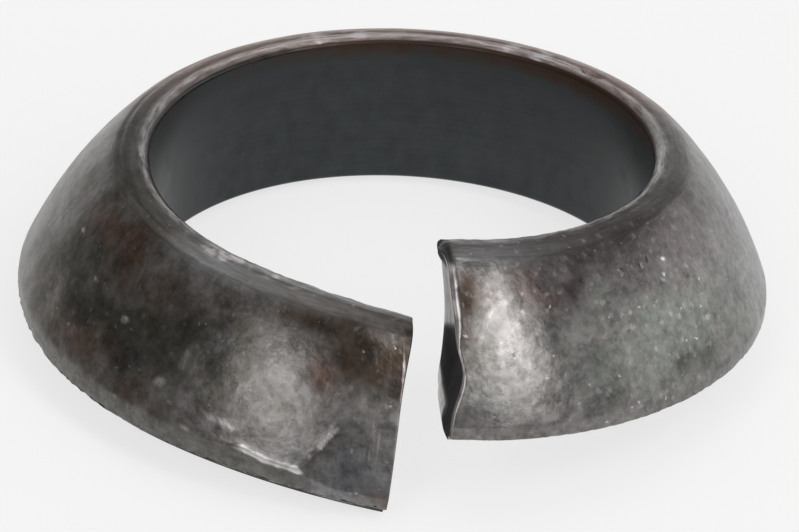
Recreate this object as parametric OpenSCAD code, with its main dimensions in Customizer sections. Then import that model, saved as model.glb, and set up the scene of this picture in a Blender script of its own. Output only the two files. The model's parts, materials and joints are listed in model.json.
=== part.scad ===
// Split lock washer for a wheel stud.
// One sprung steel ring: a plain bore, a flat seat below, a ball face outside, a narrow rim on top,
// and one cut at the front. The ring is set into a helix, so the two cut ends stand apart along the axis.
// The bore's axis is Z, the cut faces -Y, and the lowest point of the ring lies at Z = 0.

/* [Ring] */
// Diameter of the bore that the stud passes through
bore_d = 22.5; // [20:0.1:25]
// Largest diameter, at the band around the bottom
outer_d = 33.8; // [32:0.1:44]
// Height of the section, from the seat to the rim
height = 7.3; // [5:0.1:10]
// Width of the top, from the bore to the ridge where the ball face starts
top_w = 1.6; // [1.2:0.1:2.2]
// Width of the level land around the mouth of the bore
land_w = 0.7; // [0.4:0.05:0.9]
// How far the ridge lies below that land
ridge_drop = 0.2; // [0.05:0.05:0.6]
// Height of the upright band around the bottom edge
band_h = 0.9; // [0.5:0.05:1.5]
// Bevel under that band
band_bevel = 0.3; // [0.05:0.05:0.4]
// Chamfer at both mouths of the bore
bore_chamfer = 0.15; // [0.05:0.05:0.3]

/* [Spring set] */
// Rise of the ring's helix in one full turn
pitch = 2.9; // [0:0.1:5]
// Extra drop of the low end below the helix
toe_drop = 0.9; // [0:0.05:1.5]
// Extra lift of the high end above the helix
tip_lift = 0.2; // [0:0.05:1.5]
// Arc over which each end bends away from the helix, in degrees
bend_arc = 40; // [15:1:80]

/* [Split] */
// Gap between the two cut faces at half the section's height
gap_w = 1.8; // [1.5:0.1:4]
// Lean of the low end's cut, which opens the gap towards the seat, in degrees
low_lean = 6.5; // [0:0.5:8]
// Lean of the high end's cut, which opens the gap towards the seat, in degrees
high_lean = 4; // [0:0.5:8]
// Rounding that the shear left along the outside edge of each cut
shear_round = 0.4; // [0.1:0.05:0.6]

/* [Finish] */
// Chords along the ring between its two rounded ends
ring_steps = 96; // [48:1:120]
// Chords across the ball face
ball_steps = 8; // [4:1:12]
// Chords along the rounding at each end
round_steps = 4; // [2:1:6]

/* [Hidden] */
blued_steel = "#3f3d3c";

bore_r = bore_d / 2;
outer_r = outer_d / 2;
half_h = height / 2;

// The ball face is centred on the axis and runs through the ridge and the top of the band.
ridge_r = bore_r + top_w;
ridge_z = height - ridge_drop;
ball_z = (outer_r^2 + band_h^2 - ridge_r^2 - ridge_z^2) / (2 * (band_h - ridge_z));
ball_r = norm([outer_r, band_h - ball_z]);
ball_start = asin((band_h - ball_z) / ball_r);
ball_end = asin((ridge_z - ball_z) / ball_r);

// The swept section reaches into the bore by this much, and the bore's cylinder then trims it true.
bore_skin = 0.5;
bore_fn = 96;

// A section point is [radius, height, radial part of its inward shift, axial part of it].
// The shift rounds the outside edge at each cut, and it is nothing on the bore and on the seat.
function ball_point(a) = [ball_r * cos(a), ball_z + ball_r * sin(a), -cos(a), -sin(a)];
section = concat(
    [
        [bore_r - bore_skin, bore_chamfer + bore_skin, 0, 0],
        [bore_r + bore_chamfer, 0, 0, 0],
        [outer_r - band_bevel, 0, -1, 0],
        [outer_r, band_bevel, -1, 0]
    ],
    [for (i = [0:ball_steps]) ball_point(ball_start + (ball_end - ball_start) * i / ball_steps)],
    [
        [bore_r + land_w, height, 0, -1],
        [bore_r + bore_chamfer, height, 0, -1],
        [bore_r - bore_skin, height - bore_chamfer - bore_skin, 0, -1]
    ]
);

// Angles run from the middle of the gap, clockwise seen from above, so the ring rises with them.
// Each cut is a leaning plane: half the gap away at half height, and further away below that.
function low_cut(p) = asin((gap_w / 2 + (half_h - p[1]) * tan(low_lean)) / p[0]);
function high_cut(p) = 360 - asin((gap_w / 2 + (half_h - p[1]) * tan(high_lean)) / p[0]);

// Height of the helix at an angle, with the bent ends added, measured from its middle.
function bend(away) = max(0, 1 - away / bend_arc)^2;
function helix(a) = pitch * (a / 360 - 0.5) - toe_drop * bend(a) + tip_lift * bend(360 - a);

// Stations along the ring are [share of the way round, distance from the nearer cut].
// They lie close together in the rounding at each end, where the section draws in.
round_turns = [for (i = [0:round_steps - 1]) shear_round * (1 - cos(90 * i / round_steps))];
stations = concat(
    [for (d = round_turns) [0, d]],
    [for (i = [0:ring_steps]) [i / ring_steps, shear_round]],
    [for (i = [round_steps - 1:-1:0]) [1, round_turns[i]]]
);
function draw_in(d) = shear_round - sqrt(shear_round^2 - (shear_round - d)^2);
function drawn(p, d) = [p[0] + p[2] * draw_in(d), p[1] + p[3] * draw_in(d)];
function arc(length, p) = length / p[0] * 180 / PI;
function angle(s, p) = (low_cut(p) + arc(s[1], p)) * (1 - s[0]) + (high_cut(p) - arc(s[1], p)) * s[0];

// The low end's bottom corner is the ring's lowest point.
low_corner = [outer_r - band_bevel - shear_round, 0];
drop = helix(low_cut(low_corner));

function ring_point(p, a) = [-p[0] * sin(a), -p[0] * cos(a), p[1] + helix(a) - drop];

// Closed skin swept through the stations, in triangles, with a fan of them at each cut.
module swept_ring() {
    n = len(section);
    last = (len(stations) - 1) * n;
    points = [
        for (s = stations) for (p = section)
            let (q = drawn(p, s[1]))
            ring_point(q, angle(s, q))
    ];
    sides = [
        for (i = [0:n:last - n]) for (j = [0:n - 1])
            let (a = i + j, b = i + (j + 1) % n)
            each [[a, a + n, b], [b, a + n, b + n]]
    ];
    cuts = [for (j = [1:n - 2]) each [[0, j, j + 1], [last, last + j + 1, last + j]]];
    polyhedron(points, concat(sides, cuts));
}

module split_washer() {
    reach = height + pitch + toe_drop + tip_lift;
    color(blued_steel)
    difference() {
        swept_ring();
        translate([0, 0, -reach])
            cylinder(h = 3 * reach, r = bore_r, $fn = bore_fn);
    }
}

split_washer();
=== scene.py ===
"""Split lock washer: one blackened spring-steel ring, shown on a plain white table."""
import json
import math

import bmesh
import bpy
import numpy as np
from bpy.props import FloatProperty, FloatVectorProperty, PointerProperty
from mathutils import Matrix, Vector, noise


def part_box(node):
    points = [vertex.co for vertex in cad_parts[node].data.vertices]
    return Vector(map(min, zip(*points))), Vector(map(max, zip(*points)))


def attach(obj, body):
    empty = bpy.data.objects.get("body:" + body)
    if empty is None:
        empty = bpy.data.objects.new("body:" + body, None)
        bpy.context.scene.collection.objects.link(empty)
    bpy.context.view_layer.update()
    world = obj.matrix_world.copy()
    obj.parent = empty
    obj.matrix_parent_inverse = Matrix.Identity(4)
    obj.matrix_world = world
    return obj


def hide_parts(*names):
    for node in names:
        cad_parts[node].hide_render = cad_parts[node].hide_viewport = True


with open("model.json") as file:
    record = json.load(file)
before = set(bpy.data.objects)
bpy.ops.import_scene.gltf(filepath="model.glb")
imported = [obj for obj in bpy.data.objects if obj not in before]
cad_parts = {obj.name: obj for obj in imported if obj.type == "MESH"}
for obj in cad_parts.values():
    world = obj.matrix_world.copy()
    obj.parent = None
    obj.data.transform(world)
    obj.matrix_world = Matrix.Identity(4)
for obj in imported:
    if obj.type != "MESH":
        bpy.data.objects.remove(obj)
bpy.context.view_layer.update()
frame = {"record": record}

bl_info = {
    "name": "Split Lock Washer",
    "version": (1, 0, 0),
    "blender": (4, 5, 0),
    "location": "3D View > Sidebar > Washer",
    "description": "Builds a worn split lock washer and the plain stage it is shown on",
    "category": "Object",
}

NODE = "split_washer"
BODY = "root"
RING_NAME = "washer_ring"
MM = 0.001
BOX_LOW, BOX_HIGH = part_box(NODE)
BORE_R = frame["record"]["mounts"][0]["dims"]["r_mm"]
OUTER_R = min(BOX_HIGH.x, -BOX_LOW.x) / MM


def linear(hex_colour):
    """An sRGB hex colour as linear red, green and blue."""
    levels = [int(hex_colour[i:i + 2], 16) / 255 for i in (1, 3, 5)]
    return tuple(c / 12.92 if c <= 0.04045 else ((c + 0.055) / 1.055) ** 2.4 for c in levels)


def length(name, description, millimetres):
    """A length, given in millimetres and kept in metres."""
    return FloatProperty(name=name, description=description, default=millimetres * MM, min=0.0,
                         subtype="DISTANCE", unit="LENGTH", precision=6)


def angle(name, description, degrees):
    """An angle, given in degrees and kept in radians."""
    return FloatProperty(name=name, description=description, default=math.radians(degrees), subtype="ANGLE")


def colour(name, description, hex_colour):
    """A colour, given in hex and kept linear."""
    return FloatVectorProperty(name=name, description=description, default=linear(hex_colour), size=3,
                               min=0.0, max=1.0, subtype="COLOR")


class WasherSizes(bpy.types.PropertyGroup):
    """Sizes of the ring's section, of its spring set and of its cut."""
    height: length("Height", "Height of the section, from the seat to the rim", 7.3)
    top_w: length("Top width", "From the bore to the ridge where the ball face starts", 1.6)
    land_w: length("Land width", "Land around the mouth of the bore", 0.7)
    land_crown: length("Land crown", "How far the land's inside edge is rubbed below its middle", 0.16)
    land_fall: length("Land fall", "How far the land's outside edge lies below its middle", 0.05)
    ridge_drop: length("Ridge drop", "How far the ridge lies below the land", 0.2)
    band_h: length("Band height", "Upright band around the bottom edge", 0.9)
    band_bevel: length("Band bevel", "Height of the bevel under that band", 0.3)
    foot_draw: length("Foot draw", "Width of the bevel under that band", 0.55)
    bore_chamfer: length("Bore chamfer", "Chamfer at both mouths of the bore", 0.15)
    softness: length("Edge softness", "How far the section's corners are rubbed round", 0.06)
    ridge_softness: length("Ridge softness", "How far the ridge and the land's edge are rubbed round", 0.42)
    pitch: length("Pitch", "Rise of the ring's helix in one full turn", 2.9)
    toe_drop: length("Toe drop", "Extra drop of the low end below the helix", 0.9)
    tip_lift: length("Tip lift", "Extra lift of the high end above the helix", 0.2)
    bend_arc: angle("Bend arc", "Arc over which each end bends away from the helix", 40)
    gap: length("Gap", "Gap between the cut faces at half height", 1.8)
    low_lean: angle("Low lean", "Lean of the low end's cut", 6.5)
    high_lean: angle("High lean", "Lean of the high end's cut", 4)
    low_round: length("Low round", "Rounding along the low end's outside edge", 0.06)
    high_round: length("High round", "Rounding along the high end's outside edge, above the hollow", 0.4)
    hollow_round: length("Hollow round", "Rounding along the same edge at the hollow", 0.14)


class WasherWear(bpy.types.PropertyGroup):
    """Depths of the dents, hollows and rough edges."""
    waviness: length("Waviness", "Unevenness of the ball face", 0.05)
    ragged: length("Ragged edge", "Unevenness of the bottom outside edge", 0.1)
    valley: length("Valley", "Depth of the groove inside the ridge", 0.06)
    flat: length("Flat", "Depth of the flat pressed beside the low end", 0.14)
    skirt: length("Skirt", "Depth of the skirt pressed above the band", 0.12)
    lip: length("Lip", "Height of the lips raised around the pressed places", 0.05)
    hollow: length("Hollow", "Depth of the torn hollow in the high end's cut", 0.47)
    dish: length("Dish", "Depth to which the high end's cut is dished all over", 0.27)
    burr: length("Burr", "Burr drawn out at the low end's top corner and under the hollow", 0.3)
    nick: length("Nick", "Depth of the nick in the rim", 0.2)


class WasherColours(bpy.types.PropertyGroup):
    """Colours of the steel and of what has grown on it; some of them also carry painted shade or painted
    sheen.
    """
    oxide: colour("Black oxide", "Tempered oxide skin", "#7a7775")
    green: colour("Green oxide", "Oxide skin where it is thickest", "#6c716b")
    # Plum: a purple-brown tint, darkened further as painted shade on the top at the right
    plum: colour("Plum oxide", "Thin oxide near the rim", "#565050")
    # Olive: dark greenish oxide, darkened further as painted shade on the left-hand side and in the valley
    olive: colour("Olive oxide", "Oily dark oxide on the left", "#45423a")
    brown: colour("Brown oxide", "Oxide stained by old rust", "#5c463c")
    rim: colour("Rim oxide", "Rubbed brown oxide on the rim at the back", "#9a867e")
    # Pale: paler oxide, and also painted reflection at the right-hand edge and painted sheen on the rim
    pale: colour("Pale oxide", "Thinner oxide towards the right-hand side", "#8f9090")
    rust: colour("Brown rust", "Old rust at the low end", "#42352b")
    blue: colour("Blue oxide", "Oxide rubbed by a tool", "#75777c")
    band: colour("Band oxide", "Plainer oxide on the band", "#62615d")
    # Black: dark scale, and also painted shade on the high end's torn cut and on the knob at its top corner
    black: colour("Scale", "Dark scale left in hollows", "#202020")
    worn: colour("Worn steel", "Bare steel where the oxide is rubbed through", "#d3cdcd")
    # Bore: smoother oxide, made darker also as painted shade inside the bore
    bore: colour("Bore oxide", "Smoother oxide in the bore", "#3e4142")
    fresh: colour("Bore rust", "Thin rust under the rim", "#483830")


class StagePlan(bpy.types.PropertyGroup):
    """Camera, floor and room."""
    distance: length("Camera distance", "From the aim point to the camera", 280)
    azimuth: angle("Azimuth", "Camera's turn about the bore's axis, from the cut", -6.31)
    elevation: angle("Elevation", "Camera's height above the ring's own plane", 27.78)
    roll: angle("Roll", "Lean of the bore's axis in the picture", 4.54)
    lens: FloatProperty(name="Lens", description="Focal length in mm on a sensor 36 mm wide", default=279.1)
    floor_size: length("Floor size", "Side of the square floor", 1500)
    floor: colour("Floor", "White table", "#fbfbfa")
    room: colour("Room", "Grey room around the table", "#959595")
    backdrop: colour("Backdrop", "Pale sheet that rises behind the table", "#fafafa")


# Point that the middle of the picture looks at, in millimetres
AIM = Vector((0.36, 0.51, 3.15))

# Share of plain white in what the camera and the metal see of the table, which keeps the shadows on it pale
WHITE_SHARE = 0.72

# Where the backdrop fades into the room: a view direction's part towards the back, and its part upwards
BACKDROP_SIDES, BACKDROP_TOP = (0.65, 0.9), (0.4, 0.05)

# Least upward part of the normal of a plane that the ring can rest on
LEAST_UPRIGHT = 0.9

# Lamps: name, turn from the front to the right and height in degrees,
# then distance, width and height in metres, and watts
LAMPS = [
    ("tall key softbox", 36.5, 39, 0.6, 0.15, 0.5, 1.2),
    ("left softbox", -37, 32, 0.6, 0.24, 0.26, 0.56),
    ("right window", 100, 14, 0.7, 0.8, 0.36, 1.15),
    ("overhead softbox", 180, 70, 0.9, 0.9, 0.9, 1.3),
]

# Mesh of the ring: stations around it, points on each half of its section, columns across each cut face,
# and stations in each end's rounding
RING_STEPS, CHAIN_STEPS, CUT_STEPS, ROUND_STEPS = 450, 88, 26, 9
# Points on the ball face, on the land, and on the whole section before it is thinned out
BALL_POINTS, LAND_POINTS, SECTION_POINTS = 40, 9, 2400
# How much closer the stations stand near the cut than at the back
FRONT_CROWDING = 0.68
# How much closer the section's points stand where it bends, and how many points away a bend is felt
CORNER_CROWDING, BEND_REACH = 8, 8
# Mean radius at which the ring is thought of as unrolled into a straight bar
BAR_R = 15.0
# Lift off the solid's seat in millimetres, so that the mesh's own rounding does not take it below
SEAT_LIFT = 0.002

# Crease of the flat beside the low end, from bottom to top: along the bar and up the ball face, in mm
FLAT_CREASE = ((5.28, 0.37), (3.55, 2.6))
# Way up the ball face to the top of that flat
FLAT_TOP = 4.3
# Upper edge of the pressed skirt: angle round the ring and section height
SKIRT_EDGE = ((13.5, 0.95), (18, 1.24), (23, 1.28), (27, 1.44), (32, 1.28), (85, 1.2))
# Nick in the rim: angles over which it opens and closes
NICK_OPENS, NICK_CLOSES = (228.6, 229.6), (236, 230)
# Top of the torn part of the high end's cut at the bar's radius, how fast it falls towards the bore,
# and half the width over which it fades
TORN_TOP, TORN_SLOPE, TORN_FADE = 4.85, 0.53, 0.15
# Depth of the grain on the cut faces, and how far the band is drawn in at its ends, in millimetres
CUT_GRAIN, END_DRAW = 0.03, 0.03
# Glints on the rim: angle, half width in degrees, strength
GLINTS = [(167, 10, 1.0), (214, 15, 1.0), (43, 14, 1.0), (23, 3, 1.4)]
# Size in millimetres of the lumps in the stains' outlines, and how ragged they make them
STAIN_LUMP, STAIN_RAGGED = 2.0, 0.8
# Section heights between which the ball face's pattern gives way to the rim's
RIM_PATTERN = (6.75, 6.95)
# Depth of the finest dents, in metres
DENT_DEPTH = 0.00002

# Places on the outside: angle round the ring, section height, half width along it, half height, strength.
# Tints lie one over another, in this order.
TINTS = [
    ("green", 316, 3.2, 6.0, 2.2, 0.8),
    # Pale by the right-hand edge: paler oxide and painted reflection along that edge
    ("pale", 279, 2.6, 3.2, 4.5, 0.8),
    # Plum over the top on the right: purple-brown oxide, darkened further as painted shade
    ("plum", 335, 6.3, 3.5, 1.3, 0.75),
    ("plum", 311, 6.4, 5.0, 1.3, 0.95),
    ("plum", 297, 6.0, 2.6, 1.2, 0.6),
    ("band", 310, 1.6, 2.2, 0.7, 0.6),
    # Olive over the left: dark greenish oxide, darkened further as painted shade on that side
    ("olive", 69, 4.0, 8.5, 4.5, 1.0),
    ("olive", 39, 4.4, 2.4, 2.6, 0.7),
    # Lighter oxide below the ridge at the front left: painted sheen
    ("oxide", 41, 6.5, 1.8, 0.7, 0.7),
    ("brown", 64, 6.1, 3.6, 0.8, 0.85),
    ("brown", 61, 2.2, 3.0, 0.9, 0.5),
    ("brown", 46, 1.7, 1.6, 0.5, 0.4),
    ("rust", 6, 6.0, 1.7, 1.1, 1.0),
    ("rust", 3, 5.6, 0.5, 0.9, 0.9),
    ("black", 4.2, 5.7, 0.6, 1.0, 0.55),
    ("rust", 13, 5.9, 1.4, 0.9, 0.9),
    ("brown", 16, 4.8, 0.6, 0.7, 0.85),
    ("rust", 20, 6.6, 2.6, 0.45, 0.9),
    ("blue", 10, 1.6, 1.8, 1.3, 0.8),
    ("rust", 14, 2.4, 0.5, 0.6, 0.5),
    ("rust", 352.1, 5.4, 0.75, 1.4, 1.0),
    ("black", 352.1, 5.3, 0.65, 1.3, 0.5),
    # Black on the knob at the high end's top corner: painted shade
    ("black", 355.3, 7.2, 0.3, 0.35, 0.85),
    ("brown", 5, 0.8, 0.6, 0.5, 0.5),
    ("brown", 340, 6.0, 1.5, 0.6, 0.4),
    ("black", 50.5, 2.8, 0.8, 0.5, 0.6),
    ("black", 44, 4.7, 1.0, 0.7, 0.4),
    ("black", 60, 3.4, 2.5, 0.8, 0.3),
    ("black", 337.5, 4.9, 0.8, 0.4, 0.4),
    ("black", 333, 3.3, 0.6, 0.3, 0.25),
    ("black", 314.5, 2.0, 0.8, 0.35, 0.6),
    ("black", 309, 1.9, 0.8, 0.3, 0.4),
    ("black", 320, 1.5, 0.8, 0.25, 0.3),
    ("black", 279.2, 4.9, 0.3, 0.12, 0.9),
]
WORN_SPOTS = [
    (22.5, 4.2, 1.5, 1.1, 0.42),
    (22, 4.5, 0.9, 0.6, 0.55),
    (23.5, 3.0, 1.5, 1.2, 0.25),
    (30.5, 2.1, 1.1, 0.22, 0.8),
    (55, 4.05, 0.35, 0.22, 1.0),
    (43, 2.6, 0.35, 0.28, 1.1),
    (65.5, 4.4, 0.16, 0.1, 1.2),
    (40.3, 3.8, 0.3, 0.6, 0.45),
    (38, 3.4, 0.25, 0.5, 0.4),
    (40, 2.1, 0.2, 0.13, 0.7),
    (38.6, 1.8, 0.2, 0.13, 0.7),
    (36.6, 1.38, 0.25, 0.14, 1.2),
    (77.5, 5.15, 0.3, 0.08, 1.5),
    (3.0, 5.7, 0.08, 1.0, 0.9),
    (346.7, 4.6, 0.85, 2.0, 0.7),
    (348, 6.3, 0.6, 0.9, 0.6),
    (346.2, 5.6, 0.3, 0.3, 0.65),
    (344.3, 5.2, 0.4, 0.3, 0.7),
    (347.6, 4.5, 0.4, 0.3, 0.75),
    (341.2, 4.0, 0.3, 0.25, 0.6),
    (346, 2.6, 1.6, 0.9, 0.38),
    (324, 3.0, 4.5, 1.8, 0.3),
    (305, 3.05, 0.25, 0.09, 1.6),
    (309.7, 5.7, 0.16, 0.1, 1.5),
]
BRUSHED_SPOTS = [
    (40, 3.6, 0.7, 0.8, 0.3),
    (34, 2.8, 0.9, 0.7, 0.15),
    (7.5, 3.3, 1.1, 1.1, 1.2),
    (9, 2.2, 1.2, 0.9, 0.5),
]
# Where the oxide is whole, beside the highlight near the high end
WHOLE_SPOTS = [(352.2, 5.5, 0.8, 1.4, 1.0)]


def ramp(start, end, values):
    """Smooth step from 0 at start to 1 at end."""
    t = np.clip((np.asarray(values, float) - start) / (end - start), 0, 1)
    return t * t * (3 - 2 * t)


def bell(values, centre, width):
    """Bell of height 1 around a centre."""
    return np.exp(-((np.asarray(values, float) - centre) / width) ** 2)


def crease(values, softness):
    """Values above zero kept and the rest dropped, with a soft corner between."""
    return 0.5 * (values + np.sqrt(values**2 + softness**2))


def rough(points, size, seed, octaves=1):
    """Seeded noise around zero at points in millimetres, in lumps of a size with finer ones on them."""
    shift = Vector((seed * 17.3, seed * 5.1, seed * 9.7))
    values = [noise.fractal(Vector(p) + shift, 0.9, 2.0, octaves) for p in points.reshape(-1, 3) / size]
    return np.array(values).reshape(points.shape[:-1])


class Ring:
    """The washer's shape as numbers: section, helix, cuts and wear, in millimetres and degrees."""

    def __init__(self, sizes, wear):
        turned = ("bend_arc", "low_lean", "high_lean")
        for group, names in ((sizes, WasherSizes.__annotations__), (wear, WasherWear.__annotations__)):
            for name in names:
                value = getattr(group, name)
                setattr(self, name, math.degrees(value) if name in turned else value / MM)
        self.ridge_r, self.ridge_z = BORE_R + self.top_w, self.height - self.ridge_drop
        self.ball_z = ((OUTER_R**2 + self.band_h**2 - self.ridge_r**2 - self.ridge_z**2)
                       / (2 * (self.band_h - self.ridge_z)))
        self.ball_r = math.hypot(OUTER_R, self.band_h - self.ball_z)
        corner = np.array(OUTER_R - self.foot_draw - self.low_round)
        self.drop = self.helix(self.cut(corner, np.array(0.0), True)) - SEAT_LIFT

    def helix(self, a):
        """Height of the helix at an angle, with the bent ends added, measured from its middle."""
        low = np.clip(1 - a / self.bend_arc, 0, None) ** 2
        high = np.clip(1 - (360 - a) / self.bend_arc, 0, None) ** 2
        return self.pitch * (a / 360 - 0.5) - self.toe_drop * low + self.tip_lift * high

    def cut(self, r, z, is_low):
        """Angle of the low or the high cut's plane at a point of the section."""
        lean = math.tan(math.radians(self.low_lean if is_low else self.high_lean))
        a = np.degrees(np.arcsin((self.gap / 2 + (self.height / 2 - z) * lean) / r))
        return a if is_low else 360 - a

    def relief(self, r, z, is_low):
        """How far a cut's torn face lies behind its plane, into the ring."""
        h = self.height
        if is_low:
            foot = ramp(0.06 * h, 0, z)
            return self.burr * (0.25 * foot - ramp(0.55 * h, 1.1 * h, z) ** 1.4)
        torn = bell(z, 0.39 * h, 0.16 * h) * ramp(BORE_R + 0.6, BORE_R + 2.6, r)
        rolled = ramp(0.5 * h, 0.66 * h, z) * ramp(BORE_R + 0.4, BORE_R + 1.8, r)
        dished = bell(z, 0.5 * h, 0.36 * h)
        under = bell(z, 0.05 * h, 0.1 * h) * ramp(OUTER_R, OUTER_R - 1.7, r)
        under = under * (0.3 + 0.7 * ramp(BORE_R, BORE_R + 2.0, r))
        tip = ramp(0.84 * h, 0.9 * h, z) * ramp(BORE_R + 1.1, BORE_R + 0.3, r)
        tip = tip * (1 - 2.2 * ramp(0.93 * h, h, z))
        burrs = 0.7 * under + 0.5 * tip
        return self.hollow * (torn + 0.4 * rolled) + self.dish * dished - self.burr * burrs

    def high_radius(self, z):
        """Rounding of the high end's outside edge: small beside the hollow, full above it."""
        above = ramp(0.5 * self.height, 0.72 * self.height, z)
        return self.hollow_round + (self.high_round - self.hollow_round) * above

    def up_ball(self, z):
        """Way up the ball face from the band to a section height."""
        return self.ball_r * (np.arcsin(np.clip((z - self.ball_z) / self.ball_r, -1, 1))
                              - math.asin((self.band_h - self.ball_z) / self.ball_r))

    def outline(self):
        """Section's corners: up the outside from the seat to the bore's mouth, then back down inside."""
        low, high = (math.asin((z - self.ball_z) / self.ball_r) for z in (self.band_h, self.ridge_z))
        turns = np.linspace(low, high, BALL_POINTS)
        ball = [(self.ball_r * math.cos(t), self.ball_z + self.ball_r * math.sin(t)) for t in turns]
        land = []
        for t in np.linspace(1, -1, LAND_POINTS):
            r = BORE_R + self.bore_chamfer + (self.land_w - self.bore_chamfer) * (t + 1) / 2
            land.append((r, self.height - (self.land_fall if t > 0 else self.land_crown) * t * t))
        outside = [(OUTER_R - self.foot_draw, 0), (OUTER_R, self.band_bevel), *ball, *land]
        top = self.height - self.land_crown - self.bore_chamfer
        inside = [(BORE_R, top), (BORE_R, self.bore_chamfer), (BORE_R + self.bore_chamfer, 0)]
        return np.array(outside), np.array(inside)

    def section(self):
        """Points and outward normals around the section: first half outside, second half inside."""
        outside, inside = self.outline()
        loop = np.concatenate([outside, inside, outside[:1]])
        along = np.concatenate([[0], np.cumsum(np.hypot(*np.diff(loop, axis=0).T))])
        fine = np.linspace(0, along[-1], SECTION_POINTS, endpoint=False)
        pace = fine[1]
        sharp = np.stack([np.interp(fine, along, loop[:, k]) for k in (0, 1)], -1)

        def rubbed(width):
            far = int(3 * width / pace)
            reach = np.arange(-far, far + 1)
            kernel = bell(reach * pace, 0, width * math.sqrt(2))
            return sum(k * np.roll(sharp, -n, 0) for k, n in zip(kernel / kernel.sum(), reach))

        near_top = ramp(self.height - 2.0, self.height - 1.0, sharp[:, 1])
        at_ridge = (ramp(0.35, 0.8, sharp[:, 0] - BORE_R) * near_top)[:, None]
        points = rubbed(self.softness) * (1 - at_ridge) + rubbed(self.ridge_softness) * at_ridge
        tangent = np.roll(points, -1, 0) - np.roll(points, 1, 0)
        tangent /= np.linalg.norm(tangent, axis=1, keepdims=True)
        bend = np.linalg.norm(np.roll(tangent, -BEND_REACH, 0) - np.roll(tangent, BEND_REACH, 0), axis=1)
        mouth = int(round(along[len(outside) - 1] / pace))
        picks = []
        for first, last in ((0, mouth), (mouth, len(fine))):
            weight = np.cumsum(1 + CORNER_CROWDING * bend[first:last])
            weight = (weight - weight[0]) / (weight[-1] - weight[0])
            spots = np.interp(np.linspace(0, 1, CHAIN_STEPS, endpoint=False), weight, np.arange(first, last))
            picks.append(spots.round().astype(int))
        pick = np.concatenate(picks)
        normal = np.stack([tangent[:, 1], -tangent[:, 0]], -1)
        return points[pick], normal[pick]

    def stations(self):
        """Share of the way round, and how much of the low and of the high end's rounding is passed."""
        u = np.linspace(0, 1, RING_STEPS + 1)
        share = u - FRONT_CROWDING * np.sin(2 * math.pi * u) / (2 * math.pi)
        turn = 1 - np.cos(np.linspace(0, math.pi / 2, ROUND_STEPS, endpoint=False))
        share = np.concatenate([np.zeros(ROUND_STEPS), share, np.ones(ROUND_STEPS)])
        passed = np.concatenate([turn, np.ones(RING_STEPS + 1 + ROUND_STEPS)])
        return share, passed, passed[::-1]

    def flat_inside(self, a, r, z):
        """How far a point lies inside the flat beside the low end: past its crease and below its top."""
        along, up = np.radians(a) * r, self.up_ball(z)
        start, end = (np.array(point) for point in FLAT_CREASE)
        run = (end - start) / np.linalg.norm(end - start)
        past = (up - start[1]) * run[0] - (along - start[0]) * run[1]
        below = FLAT_TOP - up + 0.3 * (2 - along)
        return np.minimum(past, below)

    def skirt_edge(self, a):
        """Section height of the skirt's upper edge."""
        return np.interp(a, *zip(*SKIRT_EDGE))

    def groove(self, a, r):
        """Shape of the groove just inside the ridge; faint at the ends and on the right."""
        shown = 0.12 + 0.88 * ramp(30, 45, a) * ramp(150, 110, a)
        return shown * bell(r, self.ridge_r - 0.25, 0.12)

    def worn_depth(self, a, r, z, spots, outside):
        """Depth of the dents and worn places below the section; lips stand above it."""
        below_ridge = ramp(self.ridge_z, self.ridge_z - 0.25, z)
        on_ball = outside * ramp(self.band_h * 0.6, self.band_h, z) * below_ridge
        on_top = outside * (z > self.ridge_z - 0.3)
        on_land = outside * ramp(self.height - 0.3, self.height - 0.1, z) * (r < BORE_R + self.land_w + 0.1)
        in_run = ramp(3.5, 6, a) * ramp(356.5, 354, a)
        depth = self.waviness * (0.5 + 0.4 * rough(spots, 4.5, 1) + 0.3 * rough(spots, 1.4, 2, 2)) * on_ball
        depth += self.valley * self.groove(a, r) * on_top * (0.8 + 0.4 * rough(spots, 3.0, 7))
        inside = self.flat_inside(a, r, z)
        step = 0.2 * ramp(-0.05, 0.12, inside) + 0.8 * crease(inside, 0.1) / 4.5
        depth += self.flat * step * outside * (a < 60)
        edge = self.skirt_edge(a)
        fall = crease(edge - np.maximum(z, self.band_h), 0.05)
        depth += self.skirt * np.minimum(fall / 0.4, 1.0) * outside * ramp(12, 15, a) * ramp(110, 80, a)
        foot = outside * bell(z, 0.25, 0.3)
        teeth = 0.3 + 1.0 * rough(spots, 0.3, 3, 2) + 0.4 * rough(spots, 1.6, 4)
        depth += self.ragged * foot * np.clip(teeth, 0, 1) * in_run * (1 - 0.65 * ramp(180, 300, a))
        # The band's end corners stand a little further in, since their rounding is smaller than the solid's
        depth += END_DRAW * outside * ramp(2.0, 1.2, z) * (1 - in_run * ramp(6, 12, a) * ramp(354, 348, a))
        depth += on_land * (0.02 + 0.03 * rough(spots, 1.1, 5) + 0.02 * rough(spots, 0.35, 6))
        chip = ramp(*NICK_OPENS, a) * ramp(*NICK_CLOSES, a)
        depth += self.nick * chip * on_land * ramp(BORE_R + 0.2, BORE_R + 0.6, r)
        skirt_lip = bell(z, edge + 0.03, 0.12) * ramp(16.5, 18, a) * ramp(36, 27, a)
        up = self.up_ball(z)
        flat_lip = 0.5 * bell(inside, -0.03, 0.12) * ramp(0.3, 0.8, up) * ramp(3.2, 2.4, up)
        lips = np.maximum(skirt_lip, flat_lip * (a < 25)) * outside
        return np.maximum(depth, 0) - self.lip * lips

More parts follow.
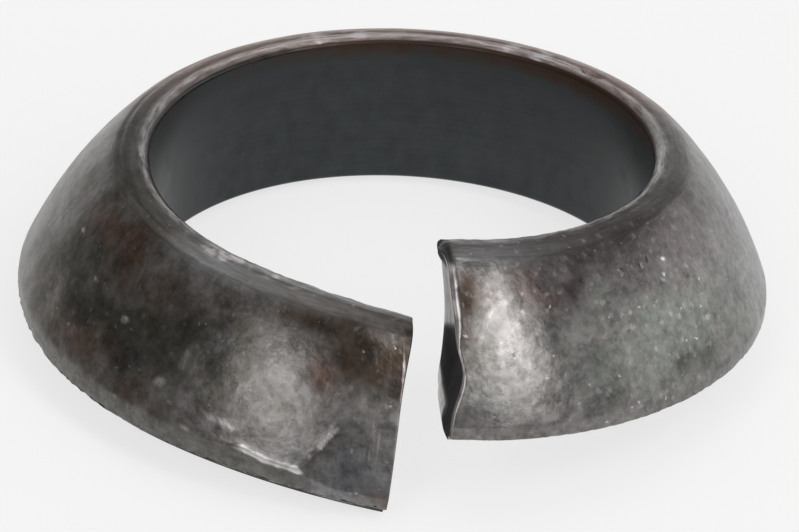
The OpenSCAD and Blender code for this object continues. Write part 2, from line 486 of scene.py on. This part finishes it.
    def wear_fields(self, a, r, z, spots, drift, outside, low_passed, high_passed):
        """Fields for the shader: bare, rusty, brushed and specked places, the bore, and torn steel, whose
        black also stands for painted shade.
        """
        bead = bell(r, BORE_R + 0.5 * self.land_w, 0.32 * self.land_w) * (z > self.height - 0.5)
        top = ramp(self.height - 0.7, self.height - 0.4, z) * ramp(2.0 * self.land_w, self.land_w, r - BORE_R)
        glints = sum(strength * bell(a, at, wide) for at, wide, strength in GLINTS)
        fine = np.clip(0.5 + 0.8 * rough(spots, 0.5, 12, 2), 0, 1)
        patchy = np.clip(0.5 + 0.7 * rough(spots, 1.3, 11, 3), 0, 1)
        up = self.up_ball(z)
        inside = self.flat_inside(a, r, z)
        crest = bell(r, self.ridge_r + 0.02, 0.1) * (z > self.ridge_z - 0.3)
        crease_line = bell(inside, 0, 0.1) * ramp(0.2, 0.9, up) * ramp(3.1, 2.4, up) * (a < 25)
        skirt_line = bell(z, self.skirt_edge(a) + 0.02, 0.1) * ramp(16.5, 18, a) * ramp(30, 26, a)
        band_line = bell(z, self.band_h + 0.12, 0.08) * ramp(344, 346, a) * ramp(354, 351, a)
        foot_glint = bell(z, 0.45, 0.14) * ramp(18, 15, a) * ramp(9, 12, a)
        shine = self.stain(a, z, drift, WORN_SPOTS) * (1 - self.stain(a, z, drift, WHOLE_SPOTS))
        rolled = 0.4 + 0.4 * patchy + 0.4 * ramp(2.0, 3.0, z)
        for mark in (
            crest * 0.9 * patchy * fine * (0.3 + 0.7 * ramp(30, 45, a)) * ramp(160, 110, a),
            crest * 1.5 * patchy * ramp(343, 346, a) * ramp(355, 353.5, a),
            bead * (0.75 + 0.4 * patchy),
            3.0 * top * glints * fine * patchy,
            2.2 * crease_line * (0.45 + 0.55 * ramp(0.8, 2.2, up)) * (0.4 + 0.9 * fine),
            3.0 * skirt_line * (0.35 + 0.9 * fine),
            0.9 * band_line * patchy,
            0.5 * foot_glint,
            ramp(1.0, 0.7, high_passed) * rolled * ramp(7.0, 6.6, z),
            ramp(1.0, 0.5, low_passed) * bell(z, 5.6, 0.9),
        ):
            shine = np.maximum(shine, mark)
        under_rim = (1 - outside) * ramp(self.height - 1.5, self.height - 0.3, z) * ramp(285, 255, a)
        rust = under_rim * (0.4 * ramp(80, 110, a) + 0.5 * ramp(140, 175, a) + 0.5 * ramp(205, 225, a))
        brushed = self.stain(a, z, drift, BRUSHED_SPOTS)
        specks = outside * (0.3 + 0.6 * ramp(295, 310, a) * ramp(358, 340, a) + 0.3 * ramp(20, 8, a))
        return {"shine": shine * outside, "rust": rust, "brushed": brushed * outside, "bore": 1 - outside,
                "specks": specks, "torn": np.zeros_like(a)}

    def drift(self, spots):
        """Noise that pulls the stains' outlines along the ring, and noise that pulls them up and down."""
        return rough(spots, STAIN_LUMP, 21, 5), rough(spots, STAIN_LUMP, 22, 5)

    def stain(self, a, z, drift, places):
        """Strongest of some soft, ragged stains at each point."""
        best = np.zeros_like(a)
        pull, push = drift
        for at, up, half_along, half_up, strength in places:
            along = np.radians((a - at + 180) % 360 - 180) * BAR_R / half_along
            rise = (z - up) / half_up
            wide = bell(along + STAIN_RAGGED * pull, 0, 1)
            best = np.maximum(best, strength * wide * bell(rise + STAIN_RAGGED * push, 0, 1))
        return best

    def skin(self, a, r, z, drift, outside, colours):
        """Colour of the oxide at each point: tints over one another, some of them painted shade or painted
        sheen, and the plainer bore, darkened partly as painted shade.
        """
        tone = np.ones(a.shape + (3,)) * np.array(colours.oxide)
        top = outside * ramp(self.height - 0.7, self.height - 0.4, z)
        valley = top * bell(r, self.ridge_r - 0.45, 0.4)
        edge = np.where(a < 180, self.skirt_edge(a), self.band_h)
        on_band = outside * ramp(edge + 0.06, edge - 0.06, z)
        layers = [(name, self.stain(a, z, drift, [place])) for name, *place in TINTS]
        layers += [
            # Olive in the valley inside the ridge on the left: partly painted shade in that hollow
            ("olive", 0.6 * valley * ramp(150, 110, a) * ramp(45, 70, a)),
            # Pale on the rim at the front left, by the low end and by the high end: painted sheen, partly
            # paler oxide
            ("pale", 0.7 * top * bell(a, 44, 12)),
            ("pale", 0.7 * top * ramp(0.9, 0.5, r - BORE_R) * ramp(40, 25, a)),
            ("pale", 0.5 * top * ramp(330, 345, a) * ramp(355.2, 354.4, a)),
            # Plum in the valley on the right: partly painted shade in that hollow
            ("plum", 0.3 * valley * ramp(250, 280, a)),
            ("rim", 0.8 * top * ramp(105, 140, a) * ramp(265, 240, a)),
            ("band", 0.85 * on_band * ramp(12, 20, a) * ramp(180, 150, a)),
            # The bore's own colour, darkened partly as painted shade
            ("bore", 1 - outside),
        ]
        for name, share in layers:
            share = share[..., None]
            tone = tone * (1 - share) + np.array(getattr(colours, name)) * share
        return tone

    def place(self, r, z, a):
        """Points in space, from section radius and height and the angle round the ring."""
        t = np.radians(a)
        return np.stack([-r * np.sin(t), -r * np.cos(t), z + self.helix(a) - self.drop], -1)


def ring_mesh(ring, colours):
    """Vertices and faces of the washer in millimetres, with bar coordinates, wear fields and colours."""
    section, normal = ring.section()
    share, low_passed, high_passed = ring.stations()
    n = 2 * CHAIN_STEPS
    index = np.arange(n)
    outside = np.where(index <= CHAIN_STEPS, 1.0, 0.0)
    drawn_share = outside * np.clip(np.minimum(index, CHAIN_STEPS - index) / 3.0, 0, 1)

    def draw_in(passed, radius):
        return radius * (1 - np.sqrt(np.clip(1 - (1 - passed) ** 2, 0, 1)))

    low_passed, high_passed = low_passed[:, None], high_passed[:, None]
    high_radius = ring.high_radius(section[:, 1])
    inward = (draw_in(low_passed, ring.low_round) + draw_in(high_passed, high_radius)) * drawn_share
    r = section[:, 0] - normal[:, 0] * inward
    z = section[:, 1] - normal[:, 1] * inward
    low_passed = np.broadcast_to(low_passed, r.shape)
    high_passed = np.broadcast_to(high_passed, r.shape)
    outside = np.broadcast_to(outside, r.shape)
    low = ring.cut(r, z, True) + np.degrees((ring.relief(r, z, True) + low_passed * ring.low_round) / r)
    high = ring.cut(r, z, False) - np.degrees((ring.relief(r, z, False) + high_passed * high_radius) / r)
    a = low * (1 - share[:, None]) + high * share[:, None]
    spots = ring.place(r, z, a)
    drift = ring.drift(spots)
    depth = ring.worn_depth(a, r, z, spots, outside)
    fields = [ring.wear_fields(a, r, z, spots, drift, outside, low_passed, high_passed)]
    tones = [ring.skin(a, r, z, drift, outside, colours).reshape(-1, 3)]
    r = r - normal[:, 0] * depth
    z = z - normal[:, 1] * depth
    points = [ring.place(r, z, a).reshape(-1, 3)]
    bars = [np.stack([np.radians(a) * BAR_R, r, z], -1).reshape(-1, 3)]
    rows = len(share)
    starts = (np.arange(rows - 1) * n)[:, None]
    after = (index + 1) % n
    sides = np.stack([starts + index, starts + after, starts + n + after, starts + n + index], -1)
    faces = sides.reshape(-1, 4).tolist()
    count = rows * n
    # Cut faces: a sheet between the outside half and the inside half of the first and last sections
    for row, is_low in ((0, True), (rows - 1, False)):
        outer = np.arange(CHAIN_STEPS + 1)
        inner = (n - outer) % n
        grid = np.zeros((CHAIN_STEPS + 1, CUT_STEPS + 1), int)
        grid[:, 0], grid[:, -1] = row * n + outer, row * n + inner
        t = np.linspace(0, 1, CUT_STEPS + 1)[1:-1]
        gr = r[row, outer][1:-1, None] * (1 - t) + r[row, inner][1:-1, None] * t
        gz = z[row, outer][1:-1, None] * (1 - t) + z[row, inner][1:-1, None] * t
        grain = CUT_GRAIN * rough(np.stack([gr, gz, gz * 0], -1), 0.5, 8) * np.sin(math.pi * t)
        step = np.degrees((ring.relief(gr, gz, is_low) + grain) / gr)
        ga = ring.cut(gr, gz, is_low) + (step if is_low else -step)
        points.append(ring.place(gr, gz, ga).reshape(-1, 3))
        bars.append(np.stack([np.radians(ga) * BAR_R, gr, gz], -1).reshape(-1, 3))
        # The high end is painted black below a slanting line and at its top corner, apart from the lip along
        # its seat:
        # torn steel, and also painted shade in the hollow and on the knob at the top
        torn_top = TORN_TOP - TORN_SLOPE * (BAR_R - gr)
        upper = ramp(torn_top - TORN_FADE, torn_top + TORN_FADE, gz)
        lip = ramp(1.25, 0.9, gz) * ramp(15.6, 14.8, gr)
        tip = ramp(0.86 * ring.height, 0.9 * ring.height, gz)
        torn = np.maximum((1 - upper) * (1 - lip), 0.8 * tip) * (0.0 if is_low else 1.0)
        dark = torn[..., None]
        tones.append((np.array(colours.oxide) * (1 - dark) + np.array(colours.black) * dark).reshape(-1, 3))
        nothing = np.zeros_like(gr)
        bare = 0.35 * upper + 0.95 * lip
        fields.append({"shine": bare * (1 - torn), "rust": nothing, "brushed": nothing, "bore": nothing,
                       "specks": nothing, "torn": torn})
        grid[1:-1, 1:-1] = count + np.arange(gr.size).reshape(gr.shape)
        grid[0, :], grid[-1, :] = grid[0, 0], grid[-1, 0]
        count += gr.size
        for i in range(CHAIN_STEPS):
            for j in range(CUT_STEPS):
                quad = [grid[i, j], grid[i, j + 1], grid[i + 1, j + 1], grid[i + 1, j]]
                quad = list(dict.fromkeys(int(q) for q in quad))
                if len(quad) > 2:
                    faces.append(quad if is_low else quad[::-1])
    named = {name: np.concatenate([f[name].reshape(-1) for f in fields]) for name in fields[0]}
    return np.concatenate(points), faces, np.concatenate(bars), named, np.concatenate(tones)


def add(tree, kind, inputs=None, **settings):
    """Adds a shader node, with its settings and its set or linked inputs."""
    made = tree.nodes.new("ShaderNode" + kind)
    for name, value in settings.items():
        setattr(made, name, value)
    for key, value in (inputs or {}).items():
        if isinstance(value, bpy.types.NodeSocket):
            tree.links.new(value, made.inputs[key])
        else:
            made.inputs[key].default_value = value
    return made


def maths(tree, operation, *values):
    """Adds a node that works out one number from others."""
    return add(tree, "Math", dict(enumerate(values)), operation=operation).outputs[0]


def spread(tree, value, low, high, curve="LINEAR"):
    """Adds a node that takes values from low to high to the whole range from 0 to 1."""
    return add(tree, "MapRange", {0: value, 1: low, 2: high}, interpolation_type=curve).outputs[0]


def blend(tree, share, first, second):
    """Adds a node that goes from a first value to a second as the share goes from 0 to 1."""
    return add(tree, "MapRange", {0: share, 3: first, 4: second}).outputs[0]


def grainy(tree, place, scale, detail, roughness):
    """Adds a noise node: lumps of a scale, with finer detail on them."""
    return add(tree, "TexNoise", {"Vector": place, "Scale": scale, "Detail": detail,
                                  "Roughness": roughness}).outputs[0]


def blackened_steel(colours):
    """Blackened spring steel: a dark satin skin, rubbed to grey on its high places, with thin rust."""
    material = bpy.data.materials.new("blackened spring steel, worn")
    material.use_nodes = True
    tree = material.node_tree
    shader = tree.nodes["Principled BSDF"]
    bar = add(tree, "Attribute", attribute_name="bar").outputs["Vector"]
    skin = add(tree, "Attribute", attribute_name="skin").outputs["Color"]
    shine, rust, brushed, bore, specks, torn = (
        add(tree, "Attribute", attribute_name=n).outputs["Fac"]
        for n in ("shine", "rust", "brushed", "bore", "specks", "torn"))
    section_z = add(tree, "SeparateXYZ", {0: bar}).outputs["Z"]
    on_rim = spread(tree, section_z, *RIM_PATTERN)
    # The bar's coordinates are in millimetres, so a pattern's scale is its lumps in one millimetre.
    # The grain is drawn coarser than that of real steel, so that it shows.
    blotch = grainy(tree, bar, 0.9, 4, 0.58)
    blotch = spread(tree, blotch, 0.36, 0.64)
    fleck = grainy(tree, bar, 2.6, 3, 0.55)
    fleck = spread(tree, fleck, 0.36, 0.64)
    stir = add(tree, "TexNoise", {"Vector": bar, "Scale": 4.0, "Detail": 2}).outputs["Color"]
    stirred = add(tree, "VectorMath", {0: stir, 1: (0.4, 0.4, 0.4), 2: bar},
                  operation="MULTIPLY_ADD").outputs[0]
    blob = add(tree, "TexVoronoi", {"Vector": stirred, "Scale": 1.9, "Smoothness": 0.5},
               feature="SMOOTH_F1").outputs[0]
    blob = spread(tree, blob, 0.55, 0.05, "SMOOTHSTEP")
    grain = grainy(tree, bar, 8.0, 2, 0.6)
    around = add(tree, "Mapping", {0: bar, 3: (0.2, 7, 7)}).outputs[0]
    streak = grainy(tree, around, 1.0, 4, 0.65)
    streak = spread(tree, streak, 0.36, 0.64)
    short = add(tree, "Mapping", {0: bar, 3: (0.8, 7, 7)}).outputs[0]
    dash = grainy(tree, short, 1.0, 3, 0.6)
    dash = spread(tree, dash, 0.32, 0.68)
    across = add(tree, "Mapping", {0: bar, 3: (5, 0.5, 0.5)}).outputs[0]
    stroke = grainy(tree, across, 1.0, 4, 0.65)
    stroke = spread(tree, stroke, 0.4, 0.6)
    # Specks of bare steel, of uneven outline: small and bright, and wider and fainter; pits are dark
    scattered = []
    for scale, few, wide, strength in ((1.7, 0.42, 0.17, 0.9), (2.1, 0.42, 0.4, 0.25), (1.2, 0.5, 0.2, 0.9)):
        cells = add(tree, "TexVoronoi", {"Vector": stirred, "Scale": scale})
        chosen = add(tree, "MapRange", {0: cells.outputs["Color"], 1: few, 2: few + 0.3,
                                        4: strength}).outputs[0]
        dot = spread(tree, cells.outputs["Distance"], wide, wide / 5, "SMOOTHSTEP")
        spot = maths(tree, "MULTIPLY", chosen, dot)
        scattered.append(maths(tree, "MULTIPLY", spot, specks))
    bright, faint, pit = scattered
    speck = maths(tree, "MAXIMUM", bright, faint)

    # Oxide skin, darker and lighter in blotches and flecks; the bore is quieter, with faint lines around it
    uneven = maths(tree, "MULTIPLY_ADD", blotch, 0.35, 0.35)
    uneven = maths(tree, "MULTIPLY_ADD", fleck, 0.4, uneven)
    uneven = maths(tree, "MULTIPLY_ADD", grain, 0.55, uneven)
    uneven = blend(tree, pit, uneven, 0.15)
    quiet = maths(tree, "MULTIPLY_ADD", blotch, 0.25, 0.8)
    quiet = maths(tree, "MULTIPLY_ADD", streak, 0.1, quiet)
    lined = maths(tree, "MULTIPLY_ADD", dash, 0.4, 0.75)
    uneven = blend(tree, on_rim, uneven, lined)
    uneven = blend(tree, bore, uneven, quiet)
    tone = add(tree, "VectorMath", {0: skin, "Scale": uneven}, operation="SCALE").outputs[0]
    # Thin rust under the rim
    rusty = maths(tree, "MULTIPLY_ADD", blotch, 0.4, rust)
    rusty = spread(tree, rusty, 0.3, 1.3, "SMOOTHSTEP")
    rusty = maths(tree, "MULTIPLY", rusty, bore)
    tone = add(tree, "Mix", {0: rusty, 6: tone, 7: (*colours.fresh, 1)}, data_type="RGBA").outputs[2]
    # Bare steel on rubbed places, blotchy on the ball face and in dashes along the rim,
    # and also in strokes and in specks
    lively = maths(tree, "MULTIPLY_ADD", blob, 0.35, 0.45)
    lively = maths(tree, "MULTIPLY_ADD", blotch, 0.4, lively)
    lines = maths(tree, "MULTIPLY_ADD", dash, 0.6, 0.4)
    lively = blend(tree, on_rim, lively, lines)
    bare = maths(tree, "MULTIPLY", shine, lively)
    stroked = maths(tree, "MULTIPLY", stroke, brushed)
    bare = maths(tree, "MULTIPLY_ADD", stroked, 0.45, bare)
    bare = spread(tree, bare, 0.15, 1.1, "SMOOTHSTEP")
    bare = maths(tree, "MAXIMUM", bare, speck)
    tone = add(tree, "Mix", {0: bare, 6: tone, 7: (*colours.worn, 1)}, data_type="RGBA").outputs[2]
    tree.links.new(tone, shader.inputs["Base Color"])

    # Torn steel is black and dull, without a metal's glint; that black is also painted shade in the hollow
    # and on the knob
    dull = maths(tree, "MULTIPLY_ADD", rusty, 0.15, 0.28)
    dull = maths(tree, "MULTIPLY_ADD", blotch, 0.1, dull)
    dull = blend(tree, torn, dull, 0.95)
    tree.links.new(dull, shader.inputs["Roughness"])
    metal = blend(tree, torn, 0.92, 0.0)
    tree.links.new(metal, shader.inputs["Metallic"])

    # Fine dents from the grain and the flecks, from the rim's dashes and from the strokes
    height = maths(tree, "MULTIPLY_ADD", grain, 0.25, fleck)
    height = blend(tree, bore, height, 0.5)
    height = maths(tree, "MULTIPLY_ADD", dash, on_rim, height)
    height = maths(tree, "MULTIPLY_ADD", stroked, 0.5, height)
    dented = add(tree, "Bump", {"Strength": 0.25, "Distance": DENT_DEPTH, "Height": height}).outputs[0]
    tree.links.new(dented, shader.inputs["Normal"])
    return material


class WASHER_OT_ring(bpy.types.Operator):
    """Build the split ring with its dents, worn edges and blackened steel"""
    bl_idname = "washer.ring"
    bl_label = "Build Ring"

    def execute(self, context):
        scene = context.scene
        ring = Ring(scene.washer_sizes, scene.washer_wear)
        points, faces, bar, named, skin = ring_mesh(ring, scene.washer_colours)
        mesh = bpy.data.meshes.new(RING_NAME)
        mesh.from_pydata((points * MM).tolist(), [], faces)
        work = bmesh.new()
        work.from_mesh(mesh)
        bmesh.ops.recalc_face_normals(work, faces=work.faces)
        work.to_mesh(mesh)
        work.free()
        mesh.shade_smooth()
        for name, values in named.items():
            mesh.attributes.new(name, "FLOAT", "POINT").data.foreach_set("value", values.astype(np.float32))
        straight = bar.astype(np.float32)
        mesh.attributes.new("bar", "FLOAT_VECTOR", "POINT").data.foreach_set("vector", straight.ravel())
        paint = np.concatenate([skin, np.ones((len(skin), 1))], 1).astype(np.float32)
        mesh.attributes.new("skin", "FLOAT_COLOR", "POINT").data.foreach_set("color", paint.ravel())
        piece = bpy.data.objects.new(RING_NAME, mesh)
        scene.collection.objects.link(piece)
        mesh.materials.append(blackened_steel(scene.washer_colours))
        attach(piece, BODY)
        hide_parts(NODE)
        return {"FINISHED"}


def resting_plane(mesh):
    """Upward normal and offset of the plane that the ring comes to rest on, under its centre of mass."""
    hull = bmesh.new()
    hull.from_mesh(mesh)
    bmesh.ops.triangulate(hull, faces=hull.faces)
    volume, moment = 0.0, Vector()
    for face in hull.faces:
        a, b, c = (v.co for v in face.verts)
        share = a.dot(b.cross(c))
        volume += share
        moment += share * (a + b + c) / 4
    centre = moment / volume
    made = bmesh.ops.convex_hull(hull, input=hull.verts)
    found = None
    for face in (f for f in made["geom"] if isinstance(f, bmesh.types.BMFace)):
        face.normal_update()
        up = -face.normal if face.normal.z < 0 else face.normal
        corners = [v.co for v in face.verts]
        if up.z < LEAST_UPRIGHT or up.dot(centre - corners[0]) < 0:
            continue
        spot = centre - up * up.dot(centre - corners[0])
        turns = [(corners[i - 1] - corners[i]).cross(spot - corners[i]).dot(up) for i in range(len(corners))]
        if min(turns) >= 0 or max(turns) <= 0:
            found = (up.copy(), up.dot(corners[0]))
    hull.free()
    if found is None:
        raise RuntimeError("the ring has no face of its hull to rest on")
    return found


def direction(turn, height):
    """Way out from the ring, by its turn from the front to the right and its height, in radians."""
    return Vector((math.sin(turn) * math.cos(height), -math.cos(turn) * math.cos(height), math.sin(height)))


class WASHER_OT_stage(bpy.types.Operator):
    """Set up the white table, the soft lamps and the camera"""
    bl_idname = "washer.stage"
    bl_label = "Build Stage"

    def execute(self, context):
        scene = context.scene
        plan = scene.washer_stage
        self.add_floor(scene, plan)
        self.add_lamps(scene, plan)
        self.add_camera(scene, plan)
        scene.view_settings.view_transform = "Standard"
        return {"FINISHED"}

    def add_floor(self, scene, plan):
        up, offset = resting_plane(scene.objects[RING_NAME].data)
        mesh = bpy.data.meshes.new("floor")
        half = plan.floor_size / 2
        corners = [(-half, -half, 0), (half, -half, 0), (half, half, 0), (-half, half, 0)]
        mesh.from_pydata(corners, [], [(0, 1, 2, 3)])
        floor = bpy.data.objects.new("floor", mesh)
        floor.matrix_world = Matrix.Translation(up * offset) @ up.to_track_quat("Z", "Y").to_matrix().to_4x4()
        scene.collection.objects.link(floor)
        material = bpy.data.materials.new("matt white table")
        material.use_nodes = True
        tree = material.node_tree
        shader = tree.nodes["Principled BSDF"]
        shader.inputs["Base Color"].default_value = (*plan.floor, 1)
        shader.inputs["Roughness"].default_value = 1.0
        shader.inputs["Specular IOR Level"].default_value = 0.0
        # The camera and the metal see the table nearer to white than the lamps alone make it,
        # shadows included
        rays = add(tree, "LightPath").outputs
        seen = maths(tree, "MAXIMUM", rays["Is Camera Ray"], rays["Is Glossy Ray"])
        seen = maths(tree, "MULTIPLY", seen, WHITE_SHARE)
        white = add(tree, "Emission", {"Color": (1, 1, 1, 1), "Strength": 1.0}).outputs[0]
        table = add(tree, "MixShader", {0: seen, 1: shader.outputs[0], 2: white}).outputs[0]
        tree.links.new(table, tree.nodes["Material Output"].inputs["Surface"])
        mesh.materials.append(material)

    def add_lamps(self, scene, plan):
        world = bpy.data.worlds.new("room")
        scene.world = world
        world.use_nodes = True
        tree = world.node_tree
        # The room is grey, and a pale backdrop rises behind the table
        ray = add(tree, "SeparateXYZ", {0: add(tree, "TexCoord").outputs["Generated"]}).outputs
        behind = spread(tree, ray["Y"], *BACKDROP_SIDES, "SMOOTHSTEP")
        level = spread(tree, ray["Z"], *BACKDROP_TOP, "SMOOTHSTEP")
        sheet = maths(tree, "MULTIPLY", behind, level)
        tone = add(tree, "Mix", {0: sheet, 6: (*plan.room, 1), 7: (*plan.backdrop, 1)},
                   data_type="RGBA").outputs[2]
        tree.links.new(tone, tree.nodes["Background"].inputs["Color"])
        for name, turn, height, distance, wide, tall, power in LAMPS:
            lamp = bpy.data.lights.new(name, "AREA")
            lamp.shape = "RECTANGLE"
            lamp.size = wide
            lamp.size_y = tall
            lamp.energy = power
            holder = bpy.data.objects.new(name, lamp)
            way = direction(math.radians(turn), math.radians(height))
            holder.location = way * distance
            holder.rotation_euler = way.to_track_quat("Z", "Y").to_euler()
            scene.collection.objects.link(holder)

    def add_camera(self, scene, plan):
        camera = bpy.data.cameras.new("camera")
        camera.sensor_fit = "HORIZONTAL"
        camera.sensor_width = 36.0
        camera.lens = plan.lens
        camera.clip_start = 0.01
        camera.clip_end = 10.0
        holder = bpy.data.objects.new("camera", camera)
        back = direction(plan.azimuth, plan.elevation)
        right = Vector((math.cos(plan.azimuth), math.sin(plan.azimuth), 0))
        above = back.cross(right)
        lean = Matrix((right, above, back)).transposed() @ Matrix.Rotation(plan.roll, 3, "Z")
        holder.matrix_world = Matrix.Translation(AIM * MM + back * plan.distance) @ lean.to_4x4()
        scene.collection.objects.link(holder)
        scene.camera = holder


class WASHER_PT_panel(bpy.types.Panel):
    """Sidebar panel with the washer's steps and sizes"""
    bl_label = "Split Lock Washer"
    bl_idname = "WASHER_PT_panel"
    bl_space_type = "VIEW_3D"
    bl_region_type = "UI"
    bl_category = "Washer"

    def draw(self, context):
        for operator in (WASHER_OT_ring, WASHER_OT_stage):
            self.layout.operator(operator.bl_idname)
        for name, group in GROUPS.items():
            box = self.layout.box()
            for prop in group.__annotations__:
                box.prop(getattr(context.scene, name), prop)


GROUPS = {
    "washer_sizes": WasherSizes,
    "washer_wear": WasherWear,
    "washer_colours": WasherColours,
    "washer_stage": StagePlan,
}
CLASSES = (*GROUPS.values(), WASHER_OT_ring, WASHER_OT_stage, WASHER_PT_panel)


def register():
    for item in CLASSES:
        bpy.utils.register_class(item)
    for name, group in GROUPS.items():
        setattr(bpy.types.Scene, name, PointerProperty(type=group))


def unregister():
    for name in GROUPS:
        delattr(bpy.types.Scene, name)
    for item in reversed(CLASSES):
        bpy.utils.unregister_class(item)


def main():
    register()
    bpy.ops.washer.ring()
    bpy.ops.washer.stage()


if __name__ == "__main__":
    main()
